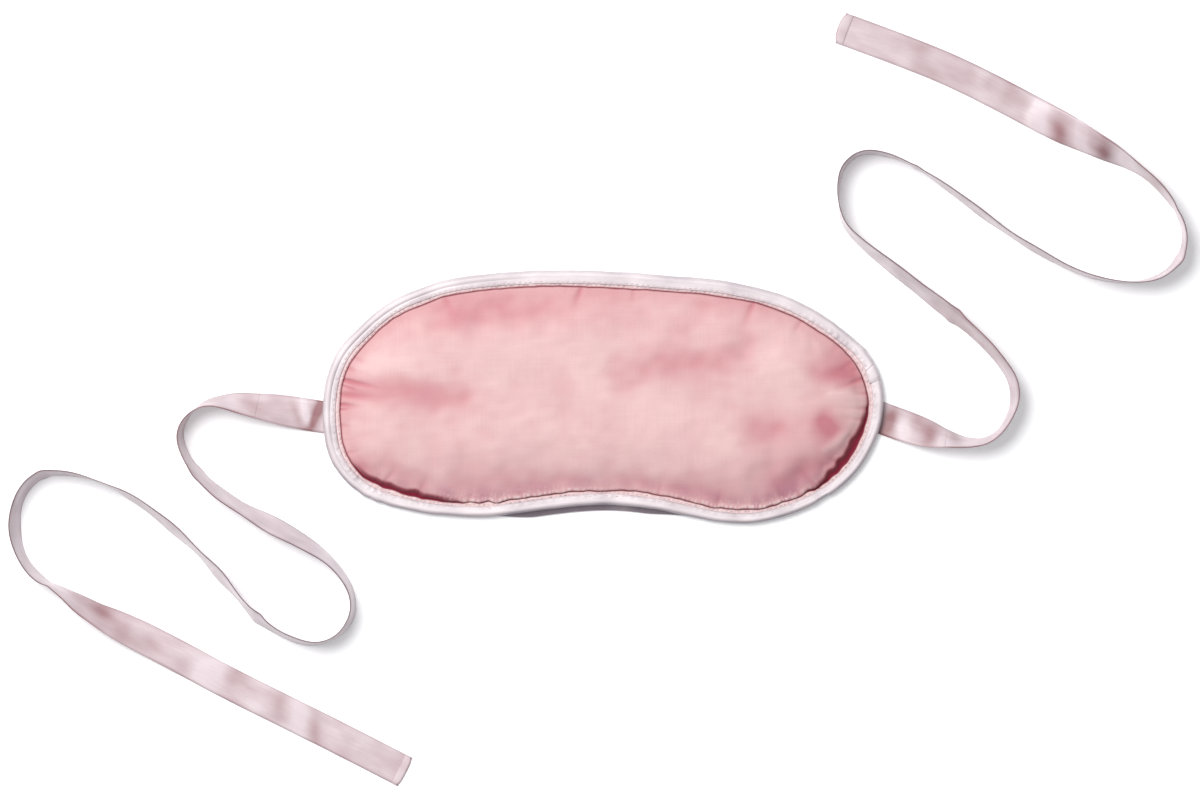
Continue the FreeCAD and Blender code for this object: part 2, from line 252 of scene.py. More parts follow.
class Nodes:
    """Short ways to add and link shader nodes."""

    def __init__(self, name):
        self.material = bpy.data.materials.new(name)
        self.material.use_nodes = True
        self.tree = self.material.node_tree
        self.shader = self.tree.nodes["Principled BSDF"]

    def fill(self, node, inputs):
        """Links the inputs that come from a node, and sets the others on their sockets."""
        for key, value in inputs.items():
            if isinstance(value, bpy.types.NodeSocket):
                self.tree.links.new(value, node.inputs[key])
            else:
                node.inputs[key].default_value = value
        return node

    def add(self, kind, inputs, **settings):
        node = self.tree.nodes.new(f"ShaderNode{kind}")
        for key, value in settings.items():
            setattr(node, key, value)
        return self.fill(node, inputs)

    def uv(self, scale=(1, 1, 1), turn=0.0):
        place = self.add("UVMap", {}, uv_map="cloth").outputs["UV"]
        inputs = {"Vector": place, "Scale": scale, "Rotation": (0, 0, turn)}
        return self.add("Mapping", inputs).outputs["Vector"]

    def noise(self, vector, scale, detail=3.0, roughness=0.5):
        inputs = {"Vector": vector, "Scale": scale, "Detail": detail, "Roughness": roughness}
        return self.add("TexNoise", inputs).outputs["Fac"]

    def wave(self, vector, scale, direction, distortion):
        inputs = {"Vector": vector, "Scale": scale, "Distortion": distortion, "Detail Scale": 2.0}
        return self.add("TexWave", inputs, bands_direction=direction).outputs["Fac"]

    def maths(self, operation, a, b):
        return self.add("Math", {0: a, 1: b}, operation=operation).outputs["Value"]

    def attribute(self, name):
        return self.add("Attribute", {}, attribute_name=name).outputs["Fac"]

    def remap(self, value, low, high, new_low=0.0, new_high=1.0):
        inputs = {"Value": value, "From Min": low, "From Max": high}
        inputs |= {"To Min": new_low, "To Max": new_high}
        return self.add("MapRange", inputs).outputs["Result"]

    def mix(self, share, a, b):
        """Colour a where share is 0 and b where it is 1."""
        inputs = {"Factor": share, 6: a, 7: b}
        return self.add("Mix", inputs, data_type="RGBA").outputs[2]

    def bump(self, height, distance, strength, under=None):
        """A bump of a height map, on top of another bump if under is one."""
        inputs = {"Height": height, "Distance": distance, "Strength": strength}
        if under is not None:
            inputs["Normal"] = under
        return self.add("Bump", inputs).outputs["Normal"]

    def surface(self, inputs):
        """Fills the shader itself and gives the finished material."""
        self.fill(self.shader, inputs)
        return self.material


def rgb(*screen):
    """A colour given as 0 to 255 screen values, as linear numbers."""
    shares = [value / 255 for value in screen]
    return (*[c / 12.92 if c <= 0.04045 else ((c + 0.055) / 1.055) ** 2.4 for c in shares], 1)


def darker(colour, share):
    return (*[c * share for c in colour[:3]], 1)


def cloth_material(name, light, deep, dusk=None, seam=None, flange=None):
    """Soft plain-weave cloth: light where it is full, and deep as painted shade in its folds. The
    cover also has a mauve of painted shade low down, seam as a crimson of painted shade in its
    ditch and gaps, and flange on the strip outside that."""
    n = Nodes(name)
    flat = n.uv()
    warp = n.wave(flat, 950, "X", 1.5)
    weft = n.wave(flat, 950, "Y", 1.5)
    weave = n.maths("MULTIPLY", warp, weft)
    slub_x = n.noise(n.uv((60, 2600, 1)), 1.0, 2.0)
    slub_y = n.noise(n.uv((2600, 60, 1)), 1.0, 2.0)
    slub = n.maths("ADD", slub_x, slub_y)
    blotch = n.remap(n.noise(flat, 38), 0.3, 0.7, -0.11, 0.11)
    mottle = n.remap(n.noise(n.uv((0.6, 1.2, 1)), 150, 2.0), 0.3, 0.7, -0.035, 0.035)
    shade = n.maths("ADD", n.maths("ADD", n.attribute("tone"), mottle), blotch)
    colour = n.mix(n.remap(shade, 0.0, 1.0), light, deep)
    colour = n.mix(n.remap(slub, 0.7, 1.3, 0.0, 0.1), colour, darker(deep, 0.82))
    colour = n.mix(n.remap(weave, 0.0, 0.6, 0.025, 0.0), colour, darker(deep, 0.7))
    if dusk is not None:
        fuzz = n.remap(n.noise(flat, 900, roughness=0.7), 0.38, 0.6, 0.25, 1.0)
        colour = n.mix(n.attribute("dusk"), colour, dusk)
        colour = n.mix(n.maths("MULTIPLY", n.attribute("pale"), fuzz), colour, flange)
        colour = n.mix(n.attribute("ditch"), colour, seam)
    nap = n.bump(n.noise(flat, 900), 0.12 * MM, 0.5)
    woven = n.bump(weave, 0.08 * MM, 0.3, nap)
    return n.surface({
        "Base Color": colour,
        "Roughness": n.remap(slub, 0.7, 1.3, 0.72, 0.86),
        "Specular IOR Level": 0.3,
        "Sheen Weight": 0.18,
        "Sheen Roughness": 0.45,
        "Sheen Tint": (1.0, 0.86, 0.88, 1),
        "Normal": n.bump(slub, 0.1 * MM, 0.22, woven),
    })


def satin_material(name, light, deep, rough=0.4, edge_on_shade=None):
    """Satin: fine ribs across its length, a soft sheen, faint random clouds, and painted shade
    towards deep where its tone is high. The last argument holds the light and dark greys of painted
    shade on a ribbon where it stands on its edge."""
    n = Nodes(name)
    ribs = n.wave(n.uv(), 900, "X", 0.6)
    threads = n.noise(n.uv((90, 5200, 1)), 1.0, 2.0)
    cloud = n.remap(n.noise(n.uv((1, 2.5, 1)), 70), 0.3, 0.7, -0.14, 0.14)
    tone = n.remap(n.maths("ADD", n.attribute("tone"), cloud), 0.0, 1.0)
    colour = n.mix(tone, light, deep)
    if edge_on_shade is not None:
        grey = n.mix(tone, *edge_on_shade)
        colour = n.mix(n.attribute("grey"), colour, grey)
    colour = n.mix(n.remap(threads, 0.4, 0.7, 0.0, 0.16), colour, deep)
    return n.surface({
        "Base Color": colour,
        "Roughness": n.remap(threads, 0.3, 0.7, rough, rough + 0.14),
        "Specular IOR Level": 0.5,
        "Sheen Weight": 0.25,
        "Sheen Roughness": 0.35,
        "Anisotropic": 0.35,
        "Normal": n.bump(threads, 0.05 * MM, 0.4, n.bump(ribs, 0.04 * MM, 0.35)),
    })


def thread_material(name, light, deep):
    """Twisted thread: slanting bands of a light and a deeper tone."""
    n = Nodes(name)
    twist = n.wave(n.uv(turn=0.8), 1600, "X", 0.3)
    return n.surface({
        "Base Color": n.mix(twist, light, deep),
        "Roughness": 0.6,
        "Sheen Weight": 0.3,
        "Normal": n.bump(twist, 0.05 * MM, 0.5),
    })


# The cover's deep colour is painted shade in its folds and puckers, its mauve third colour is
# painted shade low down and towards the lower right, and seam is the crimson of painted shade in
# the ditch and its gaps.
COVER = cloth_material(
    "cover_cloth", rgb(226, 191, 190), rgb(197, 126, 134),
    dusk=rgb(170, 112, 129), seam=rgb(118, 20, 46), flange=rgb(229, 208, 209),
)
LINING = cloth_material("lining_cloth", rgb(226, 178, 181), rgb(205, 142, 149))
BLACKOUT = cloth_material("blackout_cloth", rgb(48, 46, 50), rgb(30, 29, 32))
WADDING = cloth_material("wadding_fibre", rgb(238, 236, 232), rgb(214, 211, 206))
# The tape's deep colour is painted shade: in its crease and gathers, round its outer rim and under
# it.
TAPE = satin_material("binding_satin", rgb(231, 221, 224), rgb(136, 122, 132))
# The ribbon's deep colour is painted shade at its creases, twists and edges, and its two greys are
# painted shade where it stands on edge.
RIBBON = satin_material(
    "ribbon_satin", rgb(220, 206, 211), rgb(150, 106, 110),
    rough=0.36, edge_on_shade=(rgb(219, 206, 212), rgb(98, 79, 87)),
)
THREAD = thread_material("cream_thread", rgb(238, 226, 227), rgb(214, 178, 185))
TAPE_THREAD = thread_material("pale_thread", rgb(238, 228, 231), rgb(214, 198, 204))

# ---- front cover

FLANGE_Z = 3.45 * MM
PUFF = 5.3 * MM
PUFF_REACH = 22 * MM
# Distances of the cover's rings from the ditch, in mm: first out under the tape, then in.
RINGS = [-2.5, -1.9, -1.4, -1.0, -0.6, -0.3, -0.08, 0.12, 0.3, 0.5, 0.75, 1.05, 1.4, 1.8, 2.3]
RINGS += [2.9, 3.6, 4.4, 5.3, 6.3, 7.4, 8.6, 9.8, 11.1, 12.5, 13.9, 15.3]
INNER_RINGS = 26
# The layers' faces close on this line along the middle of the mask.
MIDDLE_REACH, MIDDLE_Y = 60 * MM, 2.5 * MM

# Stretches of the edge, each 1 at its middle and 0 away from it.
LEFT_END = near(-105, -6, 55)
RIGHT_END = near(105, 4, 50)
BOTTOM = np.clip(near(-45, -44, 75) + near(55, -47, 85), 0, 1)
# Where the puffed cloth pulls away from the flange and leaves a deep gap.
LEFT_GAP = near(-76, -36, 36)
RIGHT_GAP = near(96.5, -25, 34)
GAPS = LEFT_GAP + RIGHT_GAP
# Where the cover's edge is frayed and hangs over the flange.
FRINGE = np.clip(near(-40, -44, 60) + near(60, -46, 62), 0, 1)
# The ditch where the cover is sewn down: its usual inset, and its inset round the edge.
PLAIN_DITCH = 6.0 * MM
DITCH = (6.0 + 0.55 * LEFT_END - 0.75 * BOTTOM - 0.5 * near(94, -28, 45)) * MM

# Broad soft folds of the cover: ends, half width and depth in mm (a ridge is negative).
FOLDS = [
    (-95, 3.6, -52, 0.5, 4.4, 0.38), (-94, 11.5, -60, 9, 3.5, -0.25), (-60, 30, -22, 34, 5.0, 0.35),
    (-18, 14, -14, -2, 5.0, 0.2), (6, 8, 52, 17, 6.0, 0.42), (-44, 12, -6, 17, 7.0, -0.25),
    (30, 27, 38, 34, 4.0, 0.3), (80, 8.5, 98, 8, 4.0, 0.4), (86, 1, 97, -1, 2.4, -0.4),
    (58, -13, 66, -12, 5.5, 0.4), (82, -9, 86, -13, 3.2, 0.55), (84, -20, 92, -15, 2.2, -0.4),
    (66, -33, 84, -24, 5.0, 0.45), (-80, -24, -70, -32, 4.0, 0.35), (-52, -30, -12, -33, 5.0, 0.25),
    (10, -33, 48, -38, 5.0, 0.25), (62, 12, 72, 6, 5.0, -0.25), (20, -6, 50, -18, 8.0, -0.2),
]
# Pleats that start at the seam: x and y of the start, length, half width, depth in mm and
# how far the pleat drifts along the seam for each mm inwards.
PLEATS = [
    (-103, 8.2, 10, 0.8, 0.95, -0.1), (-103.5, 5.4, 5, 0.5, 0.5, 0.15),
    (-104, 1.6, 15, 1.1, 0.6, 0.0), (-104, -2.6, 6, 0.7, 0.9, 0.05),
    (-104, -4.6, 4, 0.5, 0.7, -0.1), (-102.5, 14, 6, 0.9, 0.4, -0.25),
    (-100, 20, 5, 0.8, 0.3, -0.2), (-103, -11, 4, 0.8, 0.35, 0.2), (-98, -22, 5, 0.9, 0.3, 0.3),
    (-8, 46.5, 6.5, 0.9, 0.6, 0.35), (12, 46.3, 4, 0.8, 0.3, 0.0), (58, 40.5, 9, 1.0, 0.5, 0.15),
    (76, 31, 5, 0.8, 0.3, 0.1), (-60, 39, 5, 1.2, 0.3, -0.2), (104, 9, 9, 1.0, 0.5, 0.0),
    (105, 2, 7, 0.9, 0.4, 0.1), (104, -5, 8, 1.0, 0.5, -0.15), (103, -10, 6, 0.8, 0.4, -0.2),
    (92, -28, 7, 0.8, 0.45, -0.3), (82, -36, 7, 0.8, 0.45, -0.4), (70, -42, 6, 0.8, 0.4, -0.3),
    (-70, -41, 6, 0.8, 0.4, 0.3), (-84, -36, 7, 0.9, 0.4, 0.4), (-50, -43.5, 5, 0.7, 0.35, 0.2),
    (-30, -43, 5, 0.7, 0.3, 0.0), (20, -42, 5, 0.7, 0.3, 0.0), (42, -46, 5, 0.7, 0.35, 0.1),
]
PUCKERS = 110
# Broad patches of painted shade (positive change) and painted light (negative change) on the cover:
# place, half size and change.
SHADE_PATCHES = [
    (-91, -26.5, 6, 3.6, 0.45), (90, -29, 7, 6, 0.2),
    (-35, 34, 42, 10, 0.3), (-62, 26, 25, 9, 0.2), (-78, 2, 30, 8, 0.26), (-50, -4, 18, 5, 0.12),
    (30, 12, 28, 8, 0.22), (52, 32, 14, 9, 0.2), (90, 10, 11, 8, 0.6), (58, -12, 14, 7, 0.32),
    (84, -12, 7, 8, 0.6), (72, -27, 22, 7, 0.2), (0, 32, 20, 8, 0.14), (-6, 8, 20, 12, -0.1),
    (14, -14, 40, 14, -0.12), (-40, 20, 26, 7, -0.06), (95, -4, 6, 7, -0.35), (30, 38, 30, 5, 0.14),
]


# The next four functions take and give lengths in mm. far is the distance inside the ditch.


def fold_depth(x, y):
    """How far the broad folds lower the cover."""
    depth = np.zeros(AROUND)
    for x0, y0, x1, y1, width, deep in FOLDS:
        run = np.array([x1 - x0, y1 - y0])
        wander = 0.25 * width * soft_noise(x, y, 20, int(abs(x0 * 7 + y0 * 3)), 6)
        px, py = x - x0, y - y0 + wander
        share = np.clip((px * run[0] + py * run[1]) / (run @ run), 0, 1)
        away = np.hypot(px - share * run[0], py - share * run[1])
        depth += 1.3 * deep * bell(away, width)
    return depth


def puckers(far):
    """Short folds that run in from the seam: depth at each point of a ring."""
    draw = np.random.default_rng(11)
    depth = np.zeros(AROUND)
    for _ in range(PUCKERS):
        at, lean = draw.uniform(0, PERIMETER), draw.normal(0, 0.25)
        reach, width = draw.uniform(2.5, 11), draw.uniform(0.6, 1.5)
        deep = draw.uniform(0.02, 0.2)
        wide = width * (1 + 1.2 * far / reach)
        fade = bell(far, reach) * smooth(far / 0.8)
        depth += deep * fade * bell(arc_gap(at + lean * far * MM) / MM, wide)
    depth *= 0.3 + 0.7 * np.maximum(LEFT_END, RIGHT_END)
    for x, y, length, width, deep, drift in PLEATS:
        at = arc_at(x, y)
        wide = width * (1 + 0.12 * far)
        fade = bell(far, length) * smooth(far / 0.5 + 0.35)
        depth += deep * fade * bell(arc_gap(at + drift * far * MM) / MM, wide)
    return depth


def patch_shade(x, y):
    """How much painted shade the broad patches add to the cover's tone; where negative it is
    painted light.
    """
    return sum(
        change * bell(np.hypot((x - px) / rx, (y - py) / ry), 1)
        for px, py, rx, ry, change in SHADE_PATCHES
    )


def cover_dusk(x, y, far, within):
    """How much painted shade a ring of the cover gets low down and towards the lower right, with
    more along the lower seam and a faint random mottle.
    """
    dusk = 0.36 * smooth((-y - 22) / 22) + 0.07 * smooth((-y - 5) / 20)
    dusk += 0.35 * smooth((x - 50) / 40) * smooth((-y - 8) / 28)
    dusk += 0.05 * np.clip(0.4 + soft_noise(x * 0.8, y, 24, 8), 0, 1.6)
    low_seam = BOTTOM * bell(far - 2.4, 3.0) * (far > 0)
    return dusk * within + 0.38 * low_seam * np.clip(0.75 + 0.4 * edge_noise(8, 15), 0, 1.3)


def middle_of(ring):
    """Where each point of a ring ends up on the middle line, in plan."""
    x = np.clip(ring[:, 0] * 0.8, -MIDDLE_REACH, MIDDLE_REACH)
    return np.column_stack([x, np.full(AROUND, MIDDLE_Y)])


def rings_inside():
    """Plan of each ring of the cover, with its distance inside the ditch at each point."""
    rings = []
    for step in RINGS:
        settle = smooth(1 - step / RINGS[-1])
        inset = PLAIN_DITCH + step * MM + (DITCH - PLAIN_DITCH) * settle
        rings.append((inset_line(inset), np.full(AROUND, step * MM)))
    last, inside = rings[-1]
    way = middle_of(last) - last
    reach = np.linalg.norm(way, axis=1)
    for k in range(1, INNER_RINGS + 1):
        share = k / INNER_RINGS
        rings.append((last + way * share, inside + reach * share))
    return rings


def dome(inside):
    """Height of the stuffed front above its flange."""
    return PUFF * (1 - (1 - np.clip(inside / PUFF_REACH, 0, 1)) ** 3)


# The form keeps one point in THINNED of each ring.
THINNED = 3
FORM_DEPTH = 5 * MM
VOXEL = 2.0 * MM
SWELL = 0.008
PRESSURE = 5.0
STIFFNESS = 3.0
SWOLLEN_FRAMES = 20
MOVE_CAP = 0.9 * MM


def stuffed_form():
    """A closed, slightly small form of the stuffed pad, pinned where it meets the ditch."""
    inner = [(flat, inside) for flat, inside in rings_inside() if inside[0] >= 0]
    floor = np.full(AROUND, FLANGE_Z - FORM_DEPTH)
    stack = [np.column_stack([flat, floor]) for flat, _ in inner[::-4]]
    stack += [np.column_stack([flat, FLANGE_Z + dome(inside)]) for flat, inside in inner]
    points = np.vstack([ring[::THINNED] for ring in stack])
    form = new_mesh("stuffed_form", points, ring_faces(len(stack), AROUND // THINNED))
    closed = bmesh.new()
    closed.from_mesh(form.data)
    bmesh.ops.remove_doubles(closed, verts=closed.verts, dist=0.01 * MM)
    bmesh.ops.recalc_face_normals(closed, faces=closed.faces)
    closed.to_mesh(form.data)
    closed.free()
    remesh = form.modifiers.new("even", "REMESH")
    remesh.mode, remesh.voxel_size = "VOXEL", VOXEL
    apply_modifiers(form)
    return form


def points_of(mesh):
    return np.array([v.co for v in mesh.vertices])


def apply_modifiers(piece):
    """Gives the piece the mesh that its modifiers make, and removes them."""
    shown = piece.evaluated_get(bpy.context.evaluated_depsgraph_get())
    mesh = bpy.data.meshes.new_from_object(shown)
    piece.modifiers.clear()
    piece.data = mesh


def swollen_heights():
    """Simulates the stuffed form as cloth under pressure and returns its surface."""
    form = stuffed_form()
    start = points_of(form.data)
    pinned = form.vertex_groups.new(name="pinned")
    pinned.add(np.flatnonzero(start[:, 2] < FLANGE_Z + 0.1 * MM).tolist(), 1.0, "REPLACE")
    cloth = form.modifiers.new("swell", "CLOTH")
    cloth.settings.vertex_group_mass = "pinned"
    cloth.settings.use_pressure = True
    cloth.settings.uniform_pressure_force = PRESSURE
    cloth.settings.shrink_min = cloth.settings.shrink_max = -SWELL
    cloth.settings.bending_stiffness = STIFFNESS
    cloth.settings.effector_weights.gravity = 0
    cloth.collision_settings.use_collision = False
    cloth.point_cache.frame_end = SWOLLEN_FRAMES
    for step in range(1, SWOLLEN_FRAMES + 1):
        bpy.context.scene.frame_set(step)
    apply_modifiers(form)
    bpy.context.scene.frame_set(1)
    moved = points_of(form.data) - start
    far = np.linalg.norm(moved, axis=1)[:, None]
    capped = start + moved * MOVE_CAP * np.tanh(far / MOVE_CAP) / np.maximum(far, 1e-9)
    form.data.vertices.foreach_set("co", capped.ravel())
    form.modifiers.new("soften", "SUBSURF").levels = 1
    apply_modifiers(form)
    surface = BVHTree.FromPolygons(
        [v.co.copy() for v in form.data.vertices], [list(f.vertices) for f in form.data.polygons]
    )
    bpy.data.objects.remove(form)
    return surface


def height_at(surface, flat, fallback):
    """Height of the surface above each plan point, or the fallback where it has none."""
    heights = np.array(fallback, float)
    for k, (x, y) in enumerate(flat):
        spot = surface.ray_cast((x, y, 0.05), (0, 0, -1))[0]
        if spot is not None:
            heights[k] = spot.z
    return heights


def front_cover():
    """The puffed panel with its folds, its frayed edge over the ditch, and its flange."""
    points, tones, dusks, ditches, pales, plan = [], [], [], [], [], []
    surface = swollen_heights()
    wobble = 0.12 * edge_noise(22, 5) + (0.04 + 0.14 * BOTTOM) * edge_noise(5.5, 6)
    overhang = np.clip(0.35 + 0.9 * FRINGE - GAPS, 0, 1) * (0.7 + 0.3 * edge_noise(6, 9))
    specks = np.clip(0.45 + 0.8 * edge_noise(1.5, 18), 0, 1)
    pull = (1.25 * LEFT_GAP**1.5 + 2.3 * RIGHT_GAP**1.5) * (0.8 + 0.2 * edge_noise(7, 16))
    for flat, inside in rings_inside():
        x, y, far = flat[:, 0] / MM, flat[:, 1] / MM, inside / MM
        within = smooth((far - 0.5) / 4)
        on_panel, on_flange = far > 0, far < -0.2
        form = FLANGE_Z + dome(inside)
        if surface is not None and far[0] > 1.5:
            form += (height_at(surface, flat, form) - form) * smooth((far - 1.5) / 4)
        drop = fold_depth(x, y) * within + puckers(far)
        drop += 0.045 * soft_noise(x, y * 1.8, 9, 4) * within
        gap_floor = smooth((0.62 - far) / 0.2) * on_panel * smooth(GAPS * 3)
        gap_wall = smooth((2.3 - far) / 1.3) * on_panel * smooth(GAPS * 1.6)
        groove = np.maximum(0.36 * bell(far - 0.05, 0.25), gap_floor * 0.95)
        z = np.where(on_panel, form - drop * MM, FLANGE_Z) - groove * MM
        z += np.where(on_flange, 0.09 * MM * edge_noise(2, 12), 0)
        lip = bell(far - 0.8, 0.8) * (far > 0.2)
        # Paler specks along the lip where it hangs over the flange: frayed threads, with a painted
        # highlight on the lip's crest.
        frayed = lip * FRINGE * specks
        shift = wobble * bell(far, 4) - overhang * 0.35 * lip
        shift += pull * smooth((far - 0.1) / 0.4) * bell(far, 7)
        moved = flat + INWARD * shift[:, None] * MM
        points.append(np.column_stack([moved, z + lip * 0.25 * MM * (1 + FRINGE)]))
        # Painted shade: deeper in the folds and puckers and within about 4 mm of the ditch, plus
        # the broad patches of painted shade and light; lighter on the frayed lip.
        shade = 0.11 + 0.68 * drop + 0.28 * bell(far, 4) * on_panel
        shade += 0.92 * patch_shade(x, y) * smooth(far / 1.5) - 0.4 * frayed
        tones.append(np.where(on_flange, 0.1 + 0.1 * edge_noise(5, 14), shade))
        dusks.append(np.clip(cover_dusk(x, y, far, within), 0, 1) * (1 - 0.6 * frayed))
        # Painted shade in the recess: a crimson line along the ditch, and the floor and wall of the
        # deep gaps.
        line = bell(far - 0.08, 0.32)
        ditches.append(np.maximum(np.maximum(line, gap_floor), gap_wall * 0.9))
        threads = np.clip(edge_noise(1.2, 70 + len(pales)) - 0.35, 0, 1)
        threads = threads * bell(far - 1.6, 1.9) * FRINGE * (far > 0.2)
        pales.append(on_flange + lip * frayed + 0.5 * threads)
        plan.append(flat)
    tone, ditch, pale, dusk = (
        np.clip(np.concatenate(rows), 0, 1) for rows in (tones, ditches, pales, dusks)
    )
    piece = new_mesh(
        "front_cover", np.vstack(points), ring_faces(len(points), AROUND), np.vstack(plan),
        tone=tone, ditch=ditch, pale=pale, dusk=dusk,
    )
    finish_layer(piece, COVER, "front_cover")


# ---- inner layers and lining


def filled_band(name, profile, fill):
    """A closed flat piece whose outer wall follows profile, in mm. fill rings run in to the
    middle over its top, and as many under it."""
    rings = [raised_line(inset * MM, height * MM) for inset, height in profile]
    top, under = rings[-1], rings[0]
    over_way, under_way = [
        np.column_stack([middle_of(ring) - ring[:, :2], np.zeros(AROUND)])
        for ring in (top, under)
    ]
    for k in range(1, fill + 1):
        rings = [under + under_way * k / fill, *rings, top + over_way * k / fill]
    points = np.vstack(rings)
    faces = ring_faces(len(rings), AROUND)
    return new_mesh(name, points, faces, points[:, :2], tone=np.full(len(points), 0.2))


def back_lining():
    """The panel that lies on the table: flat, with its rim turned up into the tape."""
    turn = 0.35 + 0.06 * edge_noise(7, 21)
    profile = [(9, 0.02), (6.2, 0.05), (5.0, turn), (4.4, 0.9), (3.6, 1.2), (1.0, 1.25)]
    profile += [(1.0, 1.6), (4.2, 1.6), (9, 0.6)]
    piece = filled_band("back_lining", profile, 12)
    finish_layer(piece, LINING, "back_lining")


def blackout_layer():
    """The thin dark cloth that stops light, between the lining and the padding."""
    low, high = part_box("left_blackout_layer")
    piece = filled_band("blackout_layer", [(1.0, low.z / MM), (1.0, high.z / MM)], 8)
    finish_layer(piece, BLACKOUT, "blackout_layer")


def padding():
    """The wadding that fills the cover."""
    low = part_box("left_padding")[0].z / MM
    profile = [(1.2, low), (1.2, 2.2), (8.6, 2.25), (11.5, 3.6), (15, 4.9), (23, 6.2)]
    piece = filled_band("padding", profile, 8)
    finish_layer(piece, WADDING, "padding")


# ---- edge binding

# At the nose the back of the tape shows below its front.
NOSE_STRIP = smooth(1.6 * near(-5, -40, 48))
# The left end and the brow beside it have a crease along the tape; the lower edge is round.
CREASED = np.clip(near(-88, 22, 85), 0, 1)
ROUND = np.clip(near(75, -40, 130) + 0.8 * near(-50, -44, 50), 0, 1)
BROW = np.clip(near(0, 45, 130), 0, 1)
# A small nick in the tape's rim.
NICK = near(82, -37, 3.5)
# Where the tape goes round a tight curve its inner half gathers into small wrinkles.
GATHERED = np.clip(near(92, 18, 45) + near(-88, -32, 40), 0, 1)

# The tape's usual width on the front, its slow waves, and its width round the edge, in mm.
PLAIN_TAPE = 4.6
TAPE_WAVE = edge_noise(16, 31)
TAPE_WIDTH = PLAIN_TAPE + 0.4 * BROW - 0.8 * ROUND + 0.3 * LEFT_END + 0.1 * TAPE_WAVE


def edge_binding():
    """Satin tape folded over the edge, creased along its middle and puckered by its stitches."""
    crinkle = edge_noise(2.6, 32) * (0.5 + 0.5 * np.clip(1 - BROW, 0, 1))
    width, part = TAPE_WIDTH, TAPE_WIDTH / PLAIN_TAPE
    crease = 0.03 + 0.52 * CREASED
    top = 4.15 + 0.1 * edge_noise(11, 33) + 0.35 * ROUND - 0.5 * NICK
    pucker = (0.05 + 0.06 * GATHERED) * crinkle
    rim = 0.12 * TAPE_WAVE + 0.9 * NICK + 0.07 * GATHERED * edge_noise(5, 34)
    strip = 2.5 * NOSE_STRIP
    profile = [
        (width - 0.15, 3.5), (width, 3.7), (width - 0.25, 3.9 + pucker),
        (width - 0.7, top - 0.22 + pucker * 2), (3.45 * part, top - 0.1 + pucker),
        (2.85 * part, top - 0.05), (2.6 * part, top - crease), (2.3 * part, top + 0.02),
        (1.8 * part, top + 0.12 + 0.12 * ROUND), (1.2 * part, top + 0.08),
        (0.7 + rim, top - 0.25), (0.32 + rim, top - 0.8), (0.1 + rim, top - 1.5), (rim, 2.0),
        (0.03 + rim, 1.55), (0.15 + rim, 1.25), (0.3 - strip * 0.9, 0.98), (0.45 - strip, 0.72),
        (0.75 - strip * 0.8, 0.5), (1.5, 0.5), (2.6, 0.54), (3.5, 0.58), (4.2, 0.6), (4.2, 0.9),
        (2.6, 0.92), (1.0, 1.1), (0.5, 1.9), (0.5, 2.9), (1.0, 3.4), (2.4, 3.5),
    ]
    # Painted shade of the profile's points, counted from the tape's inner edge: under the inner
    # edge, in the crease and down the outer wall.
    levels = {1: 0.3, 2: 0.16, 6: 0.03 + 0.87 * CREASED, 12: 0.25, 13: 0.5, 14: 0.75}
    # Painted shade on the outer rim, made stronger along the lower side by low_side.
    rim_shade = {9: 0.15, 10: 0.5, 11: 0.8, 12: 0.6, 13: 0.4}
    low_side = smooth(-EDGE[:, 1] / (30 * MM))
    shade = []
    for index in range(len(profile)):
        # Points 15 to 18, under the rim and on the back's strip at the nose, are painted deep in
        # shade; gathers adds painted shade in the gathered wrinkles, and low_side a little more low
        # down.
        level = 0.95 if 15 <= index <= 18 else levels.get(index, 0.06)
        outer = rim_shade.get(index, 0.06) * (0.42 + 0.58 * low_side)
        gathers = 0.13 * GATHERED * np.clip(crinkle, 0, 1.5) if 2 <= index <= 6 else 0
        shade.append(level + outer + 0.08 * TAPE_WAVE + 0.05 * low_side + gathers)
    piece = around_mesh("edge_binding", profile, tone=np.clip(np.concatenate(shade), 0, 1))
    finish_layer(piece, TAPE, "edge_binding")


JOIN_LENGTH = 8 * MM
JOIN_SLANT = 2.2 * MM
# Inset and height of the join's rows in mm, and their painted shade.
JOIN_ROWS = [
    (4.5, 3.85, 0.5), (4.3, 4.1, 0.25), (3.6, 4.33, 0.1), (2.8, 4.42, 0.12), (2.0, 4.56, 0.05),
    (1.3, 4.54, 0.05), (0.75, 4.25, 0.1), (0.32, 3.6, 0.2), (0.08, 2.9, 0.3), (-0.04, 2.3, 0.45),
    (-0.02, 1.6, 0.6),
]


def binding_join():
    """The folded-under end of the tape, laid over its start at the right end of the brow."""
    low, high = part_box("binding_join")
    centre = (low + high) / 2 / MM
    at = arc_at(centre.x, centre.y)
    columns = np.linspace(0, 1, 13)
    points, tone, uv = [], [], []
    for k, (inset, height, shade) in enumerate(JOIN_ROWS):
        line = inset_line(inset * MM)
        for share in columns:
            slant = JOIN_SLANT * (1 - k / (len(JOIN_ROWS) - 1)) * share
            spot = (at + (share - 0.5) * JOIN_LENGTH - slant) % PERIMETER
            plan = [np.interp(spot, ARC, line[:, axis]) for axis in range(2)]
            edge = min(share, 1 - share) * JOIN_LENGTH
            fall = math.exp(-edge / (0.35 * MM)) * 0.42
            wrinkle = 0.06 * math.sin(9 * share + k)
            points.append((*plan, (height - fall + wrinkle + 0.2) * MM))
            # Painted shade, deepest along the cut ends and a little on the first columns.
            tone.append(shade + (0.85 if share in (0, 1) else 0.2 * (share < 0.3)))
            uv.append((spot, k * 0.7 * MM))
    faces = ring_faces(len(JOIN_ROWS), len(columns), open_rings=True)
    piece = new_mesh("binding_join_fold", points, faces, uv, tone=tone)
    finish_piece(piece, TAPE, ["binding_join"])
    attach(piece, "right_half")


# ---- stitches


THREAD_SIDES = 6
